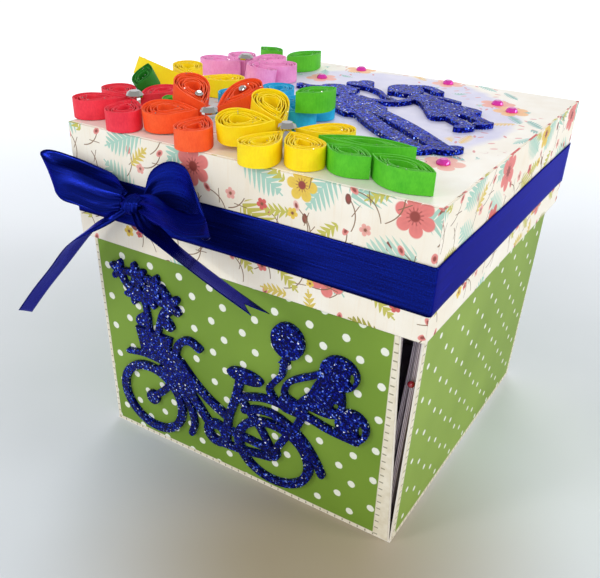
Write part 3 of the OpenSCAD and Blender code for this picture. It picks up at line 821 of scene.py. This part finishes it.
def coil(name, node, place, long, wide, leaf, look, slot, rng):
    """One strip of paper, wound up, let loose and pinched to a point. Gives back its line."""
    line = coil_line(long, wide, leaf, LEAF_TURNS if leaf else PETAL_TURNS, rng)
    count = len(line)
    points, faces = [], []
    dips = [rng.uniform(0.0, DEEPEST_DIP) for _ in range(DIP_COUNT)]
    start, heart = line[0][0], Vector((long / 2, 0))
    for i, (p, n) in enumerate(line):
        before, after = line[max(i - 1, 0)][0], line[min(i + 1, count - 1)][0]
        along = (after - before).normalized()
        inner = Vector((along.y, -along.x)) * STRIP_T
        leads_out = (p + inner - heart).length > (p - heart).length
        if leads_out and (start - p).length > 1e-6:
            inner = -inner
        k = int(n)
        dip = dips[k] * (1 - (n - k)) + dips[k + 1] * (n - k)
        high = STRIP_W - dip * min(1.0, max(0.0, n - DIP_FROM))
        for q in (p, p + inner):
            points.append(place @ Vector((q.x, q.y, 0)))
            points.append(place @ Vector((q.x, q.y, high)))
    for i in range(count - 1):
        a, b = 4 * i, 4 * i + 4
        faces += [(a, b, b + 1, a + 1), (a + 2, a + 3, b + 3, b + 2)]
        faces += [(a + 1, b + 1, b + 3, a + 3), (a, a + 2, b + 2, b)]
    faces += [(0, 1, 3, 2), (4 * count - 4, 4 * count - 2, 4 * count - 1, 4 * count - 3)]
    piece(name, points, faces, look, "lid", [node], smooth=False)
    return line


GRAIN_SIDES = 6
GRAIN_R = (0.08, 0.17)
GRAIN_HALF_T = 0.06
GRAIN_TILT = 0.6
GRAIN_UP = 0.02
PETAL_GRAINS = 6
LEAF_GRAINS = 5
# How much of a strip's outer end has no grains, in turns
CLEAN_TURNS = 0.8


def glitter_grains(spots, look):
    """Six-sided grains of glitter glue on the top edges of the coils."""
    points, faces = [], []
    for spot, size, tilt in spots:
        low = len(points)
        high = low + GRAIN_SIDES
        for z in (-GRAIN_HALF_T, GRAIN_HALF_T):
            for k in range(GRAIN_SIDES):
                a = math.tau * k / GRAIN_SIDES
                points.append(spot + tilt @ Vector((size * math.cos(a), size * math.sin(a), z)))
        faces.append(tuple(low + k for k in reversed(range(GRAIN_SIDES))))
        faces.append(tuple(high + k for k in range(GRAIN_SIDES)))
        for k in range(GRAIN_SIDES):
            m = (k + 1) % GRAIN_SIDES
            faces.append((low + k, low + m, high + m, high + k))
    piece("glitter_grains", points, faces, look, "lid", smooth=False)


def quilling(looks):
    """All the petals and leaves, and the grains of glitter on them."""
    rng = random.Random(21)
    spots = []

    def glitter(place, line, count):
        inside = [p for p, n in line if n > CLEAN_TURNS]
        for _ in range(count):
            p = rng.choice(inside)
            spot = place @ Vector((p.x, p.y, STRIP_W + GRAIN_UP))
            tilt = place.to_3x3()
            for axis in ("X", "Y"):
                tilt = tilt @ Matrix.Rotation(rng.uniform(-GRAIN_TILT, GRAIN_TILT), 3, axis)
            spots.append((spot, rng.uniform(*GRAIN_R), tilt))

    for colour, (centre, petals) in FLOWERS.items():
        dye = "yellow" if colour == "lemon" else colour
        for i, petal in enumerate(petals, 1):
            name, node = f"{colour}_coil_{i}", f"{colour}_petal_{i}"
            place = petal_place(centre, petal)
            line = coil(name, node, place, *PETAL, False, looks[dye], dye + "_paper", rng)
            glitter(place, line, PETAL_GRAINS)
    for node, (at, direction, rise, roll, long, wide) in LEAVES.items():
        dye = "dark_leaf" if node == "left_leaf" else "leaf"
        place = on_lid(at, direction, rise, roll)
        line = coil(node + "_coil", node, place, long, wide, True, looks[dye], dye + "_paper", rng)
        glitter(place, line, LEAF_GRAINS)
    glitter_grains(spots, looks["silver"])


# Stones

GIRDLE = 0.3
CROWN_R = 0.84
CROWN_UP = 0.55
TABLE_R = 0.55
SILVER_R = 2.4
SMALL_R = 1.1
PINK_R = 1.7
# A stone's height as a share of its radius
SILVER_RISE = 0.625
PINK_RISE = 0.675
GLUE = 0.05
STONE_UP = 0.9
STONE_TURN = 11
SMALL_AT = (9.0, 4.4)


def gem(points, faces, place, radius, rise):
    """Adds a flat-backed stone: girdle, eight long crown facets and a table."""
    girdle = rise * GIRDLE
    rings = [
        (16, radius, 0.0, 0.0),
        (16, radius, girdle, 0.0),
        (8, radius * CROWN_R, girdle + (rise - girdle) * CROWN_UP, 0.5),
        (8, radius * TABLE_R, rise, 0.0),
    ]
    starts = []
    for count, r, z, shift in rings:
        starts.append(len(points))
        for k in range(count):
            a = math.tau * (k + shift) / count
            points.append(place @ Vector((r * math.cos(a), r * math.sin(a), z)))
    low, mid, high, top = starts
    faces.append(tuple(low + k for k in reversed(range(16))))
    for k in range(16):
        m = (k + 1) % 16
        faces.append((low + k, low + m, mid + m, mid + k))
    for k in range(8):
        m = (k + 1) % 8
        a, b, c = mid + 2 * k, mid + (2 * k + 1) % 16, mid + (2 * k + 2) % 16
        faces += [(a, b, high + k), (b, c, high + k), (high + k, c, high + m)]
        faces += [(high + k, high + m, top + m), (high + k, top + m, top + k)]
    faces.append(tuple(top + k for k in range(8)))


def silver_stones(look):
    """Four large stones on the flowers' centres and two small ones on orange petals."""
    points, faces = [], []
    for colour in ("yellow", "orange", "red", "pink"):
        up = STRIP_W + (STONE_UP if colour == "pink" else GLUE)
        centre = Vector(FLOWERS[colour][0]) + Vector((0, 0, up))
        gem(points, faces, on_lid(centre, STONE_TURN, 0, 0), SILVER_R, SILVER_R * SILVER_RISE)
    centre, petals = FLOWERS["orange"]
    for along, petal in zip(SMALL_AT, petals):
        place = petal_place(centre, petal) @ Matrix.Translation((along, 0, STRIP_W + GLUE))
        gem(points, faces, place, SMALL_R, SMALL_R * SILVER_RISE)
    piece("silver_stones", points, faces, look, "lid", ["silver_gems"], smooth=False)


def pink_stones(look):
    """Small stones glued to the hearts of the printed peach flowers."""
    points, faces = [], []
    for x, y in PINK_STONES:
        place = Matrix.Translation(LID_CORNER + Vector((x, y, TOP_PAPER)))
        gem(points, faces, place, PINK_R, PINK_R * PINK_RISE)
    piece("pink_stones", points, faces, look, "lid", ["pink_gems"], smooth=False)


# Ribbon and bow

KNOT_IN = 25.0
KNOT_UP = 2.5
KNOT_AT = Vector((LID_CORNER.x + KNOT_IN, BAND_LOW.y, (BAND_LOW.z + BAND_HIGH.z) / 2 + KNOT_UP))
# Stations along each strip: the place from the knot, the way across and the width
BOW = {
    "bow_loop_left": [
        ((-3.2, -3.4, 1.2), (0, 0, 1), 5), ((-7.5, -2.2, 1.4), (0, 0, 1), 9),
        ((-14, -2, 1), (-0.1, 0, 1), 12), ((-20.5, -2.2, 2.2), (-0.3, 0, 0.95), 12),
        ((-26.5, -3.4, 3.8), (-0.6, 0.05, 0.8), 12), ((-28.4, -6, 4), (-0.75, 0.35, 0.55), 12),
        ((-23.5, -8.2, 2.8), (-0.7, 0.4, 0.58), 12), ((-16.5, -8, 2.4), (-0.5, 0.5, 0.7), 10),
        ((-8.5, -6.8, 1), (-0.25, 0.6, 0.75), 8), ((-3.4, -5, 0.8), (0, 0.3, 0.95), 5),
    ],
    "bow_loop_right": [
        ((3.2, -3.2, 1.8), (-0.1, 0, 1), 5), ((6, -2.4, 5), (-0.25, 0.05, 0.95), 9),
        ((11.5, -2.4, 7), (-0.2, 0.1, 0.97), 12), ((17.4, -3.4, 7), (-0.15, 0.1, 1), 12),
        ((22.6, -6, 3.6), (-0.35, 0.25, 0.9), 12), ((26.6, -8.6, 3.2), (-0.7, 0.65, 0.15), 12),
        ((23, -11, 2.6), (-0.53, 0.84, 0.05), 12), ((16.5, -10, 2.8), (-0.5, 0.8, 0.1), 10),
        ((9.5, -7.6, 2.4), (-0.3, 0.6, 0.6), 7.5), ((3.4, -5.2, 1.4), (0, 0.2, 1), 5),
    ],
    "bow_tail_left": [
        ((-0.8, -4.6, -0.6), (0.3, 0.6, 0.7), 3), ((-5.4, -7.6, -3.6), (0.2, 0.7, 0.5), 6),
        ((-11, -8, -6.8), (0, 0.85, 0.2), 11), ((-17.8, -8.4, -12.8), (-0.2, 0.85, -0.1), 12),
        ((-27, -8.7, -23), (-0.35, 0.85, -0.3), 12), ((-35.5, -9.6, -32.6), (-0.4, 0.8, -0.4), 12),
        ((-43.6, -11, -42.8), (-0.4, 0.8, -0.4), 12),
    ],
    "bow_tail_right": [
        ((1.2, -4.8, -0.8), (0.3, 0.7, 0.3), 3), ((6, -7.2, -2.8), (0, 0.85, 0), 6),
        ((9.4, -8, -3.6), (-0.1, 0.85, -0.2), 9), ((14.5, -8.6, -5.7), (-0.15, 0.85, -0.4), 12),
        ((22, -9.2, -8.3), (-0.15, 0.85, -0.42), 12), ((32.5, -9.8, -11.8), (-0.15, 0.85, -0.42), 12),
        ((43.2, -10.2, -15.2), (-0.15, 0.85, -0.42), 12),
    ],
}
BOW_T = 0.16
ACROSS = 13
STATION_STEPS = 9
# Height of the folds at the knot, how many there are, and how soon they flatten
FOLD = 0.75
FOLD_COUNT = 1.25
FOLD_PHASE = 0.6
FOLD_REACH = 5.5
SWELL = 0.5
SWELL_REACH = 40
# The left tail is cut aslant and the right one to a notch
CUT_DEPTH = {"bow_tail_left": 3.0, "bow_tail_right": 5.0}
CUT_REACH = 9.0


def bow_rows(name):
    """Rows of points across a bow strip, gathered into small folds towards the knot."""
    stations = [
        list(KNOT_AT + Vector(c)) + list(Vector(w).normalized() * size / 2) for c, w, size in BOW[name]
    ]
    path = smooth_path(stations, STATION_STEPS)
    centres = [Vector(p[:3]) for p in path]
    halves = [Vector(p[3:]) for p in path]
    run = [0.0]
    for a, b in zip(centres, centres[1:]):
        run.append(run[-1] + (b - a).length)
    total = run[-1]
    looped = "loop" in name
    rows, weave = [], []
    for i, (c, w) in enumerate(zip(centres, halves)):
        along = centres[min(i + 1, len(centres) - 1)] - centres[max(i - 1, 0)]
        up = w.cross(along).normalized()
        from_knot = min(run[i], total - run[i]) if looped else run[i]
        gather = math.exp(-from_knot / FOLD_REACH)
        crown = SWELL * (1 - gather) * math.exp(-from_knot / SWELL_REACH)
        notch = 0.0
        row, marks = [], []
        for j in range(ACROSS):
            s = 2 * j / (ACROSS - 1) - 1
            fold = FOLD * gather * math.sin(FOLD_COUNT * math.tau * s + FOLD_PHASE)
            ease = crown * (0.5 - s * s)
            if name in CUT_DEPTH:
                reach = max(0.0, (run[i] - (total - CUT_REACH)) / CUT_REACH)
                cut = (1 - abs(s)) if name == "bow_tail_right" else (1 - s) / 2
                notch = -CUT_DEPTH[name] * cut * reach * reach
            row.append(c + w * s + up * (fold + ease) + along.normalized() * notch)
            marks.append((run[i], s * RIBBON_W / 2, 0.0))
        rows.append(row)
        weave.append(marks)
    return rows, weave, total


def bow(look):
    """The two loops and the two tails, all held by the knot."""
    for name in BOW:
        rows, weave, total = bow_rows(name)
        points, faces = shell(rows, BOW_T)
        marks = [m for row in weave for m in row] * 2
        made = piece(name + "_satin", points, faces, look, "lid", [name], weave=marks)
        total * MM


KNOT_HALF_LONG = 2.45
KNOT_DEEP = 3.0
KNOT_HIGH = 2.4
KNOT_OUT = 3.6
KNOT_LEAN = 0.33
KNOT_AROUND = 48
KNOT_ACROSS = 25


def knot(look):
    """A short turn of ribbon drawn tight round the gathered loops, with slanting folds."""
    middle = KNOT_AT - Vector((0, KNOT_OUT, 0))
    rows, weave = [], []
    for i in range(KNOT_AROUND):
        a = math.tau * i / KNOT_AROUND
        row, marks = [], []
        for j in range(KNOT_ACROSS):
            s = 2 * j / (KNOT_ACROSS - 1) - 1
            fold = 0.16 * math.sin(4.2 * math.pi * s + 0.9 * math.sin(a))
            swell = 1.0 - 0.34 * s**4 + 0.05 * math.sin(3 * a + 2 * s)
            x = KNOT_HALF_LONG * s + KNOT_LEAN * math.sin(a)
            y = (KNOT_DEEP * swell + fold) * math.cos(a)
            z = (KNOT_HIGH * swell + fold) * math.sin(a)
            row.append(middle + Vector((x, y, z)))
            marks.append((i * 0.35, s * RIBBON_W / 2 * 0.9, 0.0))
        rows.append(row)
        weave.append(marks)
    points, faces = shell(rows, BOW_T * 2, closed=True)
    marks = [m for row in weave for m in row] * 2
    piece("bow_knot_satin", points, faces, look, "lid", ["bow_knot"], weave=marks)


BAND_T = 0.14
BAND_OFF = 0.16
BAND_BEND = 0.9
BAND_LOOSE = 0.2
SIDE_STEPS = 40
BEND_STEPS = 8


def band_path():
    """The way round the lid: four straight sides, each with the bend at its end."""
    half = LID_HIGH.x + BAND_OFF
    corner = half + BAND_LOOSE - BAND_BEND
    path = []
    for k in range(4):
        turn = Matrix.Rotation(math.radians(90 * k), 3, "Z")
        for i in range(SIDE_STEPS + 1):
            t = i / SIDE_STEPS
            bulge = BAND_LOOSE * (2 * abs(t - 0.5)) ** 8
            path.append(turn @ Vector((-corner + 2 * corner * t, -(half + bulge), 0)))
        for i in range(1, BEND_STEPS):
            a = math.radians(-90 + 90 * i / BEND_STEPS)
            x, y = corner + BAND_BEND * math.cos(a), -corner + BAND_BEND * math.sin(a)
            path.append(turn @ Vector((x, y, 0)))
    return path


def band(look):
    """The ribbon round the lid, bent softly over the four corners."""
    path = band_path()
    rows, weave, run = [], [], 0.0
    low, high = BAND_LOW.z, BAND_HIGH.z
    for i, p in enumerate(path):
        run += (p - path[i - 1]).length if i else 0.0
        sway = 0.18 * math.sin(run / 31) + 0.08 * math.sin(run / 9 + 1)
        row, marks = [], []
        for j in range(ACROSS):
            s = j / (ACROSS - 1)
            row.append(Vector((p.x, p.y, low + (high - low) * s + sway)))
            marks.append((run, (s - 0.5) * RIBBON_W, 0.0))
        rows.append(row)
        weave.append(marks)
    run += (path[0] - path[-1]).length
    points, faces = shell(rows, BAND_T, closed=True)
    marks = [m for row in weave for m in row] * 2
    made = piece("ribbon_band_satin", points, faces, look, "lid", ["ribbon_band"], weave=marks)


# Stage

# Over which distances the table turns paler and then glows white, and where the box's soft shadow is
# painted on it
TABLE_FADE = (60.0, 230.0)
GLOW_FADE = (120.0, 600.0)
PAINTED_SHADOW_AT = (35.0, -68.0)
PAINTED_SHADOW_FADE = (82.0, 8.0)
# Half the table's width, in metres
TABLE_HALF = 3.0
SKY_LOW = (0.92, 0.94, 0.98, 1)
SKY_HIGH = (0.5, 0.5, 0.5, 1)
SKY_HIGH_FROM = 0.7
# Each lamp's place and the point it faces, in metres, then its width and its power
LAMPS = {
    "window_right": ((0.8, 0.2, 0.5), (0, 0, 0.06), 0.3, 2.1),
    "window_back": ((-0.35, 0.8, 0.75), (0, 0, 0.08), 0.6, 2.4),
    "front_fill": ((-0.45, -0.75, 0.5), (0, 0, 0.09), 0.25, 1.8),
    "room_light": ((0.42, -0.66, 0.5), (0, 0, 0.06), 0.25, 1.3),
}


def pale_table():
    """Pale near the box, with a painted shadow before it, and white further out and in mirror-like
    pieces.
    """
    floor = Look("pale_table")
    at = floor.place()
    x, y, _ = floor.split(at)
    far = length_of(x, y).ease(*TABLE_FADE)
    cloud = floor.noise(at, 60.0, 2.0)
    near = floor.ramp(cloud, tints((0.3, 218, 224, 228), (0.7, 225, 230, 234)))
    # Painted shadow: a warm grey patch before the box, darkest at its centre
    shade = length_of(x - PAINTED_SHADOW_AT[0], y - PAINTED_SHADOW_AT[1]).ease(*PAINTED_SHADOW_FADE)
    base = floor.mix(shade, floor.mix(far, near, ink(244, 248, 253)), ink(174, 160, 134))
    path = floor.node("ShaderNodeLightPath", None, None, "Is Camera Ray")
    seen = path.most(floor.other(path, "Is Glossy Ray")).most(floor.other(path, "Is Transmission Ray"))
    white = length_of(x, y).ease(*GLOW_FADE)
    glow = floor.mix(white * seen, BLACK, (0.42, 0.44, 0.46, 1))
    return floor.finish(Base_Color=base, Roughness=0.55, Emission_Color=glow, Emission_Strength=1.0)


def table():
    """The table top, which is a part of the stage and not of the box."""
    mesh = bpy.data.meshes.new("table_top")
    square = [(-1, -1), (1, -1), (1, 1), (-1, 1)]
    mesh.from_pydata([(x * TABLE_HALF, y * TABLE_HALF, 0) for x, y in square], [], [(0, 1, 2, 3)])
    mesh.materials.append(pale_table())
    top = bpy.data.objects.new("table_top", mesh)
    bpy.context.scene.collection.objects.link(top)


def studio():
    """A plain room, a little brighter near the table than overhead."""
    sky = Look("studio", "worlds", "Background")
    up = sky.split(sky.node("ShaderNodeTexCoord", None, None, "Generated"))[2]
    colour = sky.ramp(up, [(0.0, SKY_LOW), (SKY_HIGH_FROM, SKY_HIGH)])
    bpy.context.scene.world = sky.finish(Color=colour, Strength=1.0)


def lamps():
    for name, (at, aim, size, power) in LAMPS.items():
        data = bpy.data.lights.new(name, "AREA")
        data.shape = "DISK"
        data.size = size
        data.energy = power
        made = bpy.data.objects.new(name, data)
        made.location = at
        made.rotation_mode = "QUATERNION"
        made.rotation_quaternion = (Vector(aim) - Vector(at)).to_track_quat("-Z", "Y")
        bpy.context.scene.collection.objects.link(made)


def dress():
    """Finishes for the CAD nodes whose shape is right."""
    looks = {
        "outer_box": card("cream_card_plain", ink(236, 230, 218)),
        "middle_box": striped_card(),
        "olive": card("olive_paper_plain", ink(216, 198, 56)),
        "corner_bead": stone("red_bead_gloss", ink(168, 30, 54), 0.0, 0.18),
        "lid_tray": floral_card(),
        "lid_top_paper": wreath_paper(),
        "bicycle_cutout": glitter_foam("blue_glitter"),
        # The children's cutout on the lid's top takes a lighter copy of the same glitter: painted light
        "children_cutout": glitter_foam("blue_glitter_painted_light", 1.25),
    }
    looks["inner_box"] = looks["middle_box"]
    for side in ("front", "right", "back", "left"):
        looks["outer_paper_" + side] = dotted_paper(side)
        looks["outer_lining_" + side] = looks["olive"]
    for name, node in nodes.items():
        if name in looks:
            node.data.materials.clear()
            node.data.materials.append(looks[name])
            for face in node.data.polygons:
                face.material_index = 0


def main():
    bpy.context.scene.view_settings.view_transform = "Standard"
    make_camera()
    table()
    studio()
    lamps()
    dress()
    looks = {
        "yellow": quilled("quilling_yellow", ink(255, 230, 0), ink(252, 212, 0)),
        "orange": quilled("quilling_orange", ink(255, 98, 40), ink(242, 74, 22)),
        "red": quilled("quilling_red", ink(246, 56, 74), ink(224, 34, 58)),
        "blue": quilled("quilling_blue", ink(34, 186, 232), ink(16, 160, 212)),
        "pink": quilled("quilling_pink", ink(250, 168, 218), ink(236, 134, 196)),
        "leaf": quilled("quilling_green", ink(92, 200, 36), ink(66, 176, 24)),
        "dark_leaf": quilled("quilling_dark_green", ink(36, 138, 34), ink(22, 112, 24)),
        "silver": stone("silver_foil_stone", ink(196, 193, 188), 1.0, 0.06),
        "pink_stone": stone("pink_foil_stone", ink(240, 46, 186), 0.35, 0.12),
    }
    quilling(looks)
    silver_stones(looks["silver"])
    pink_stones(looks["pink_stone"])
    ribbon = satin()
    knot(ribbon)
    bow(ribbon)
    band(ribbon)


main()
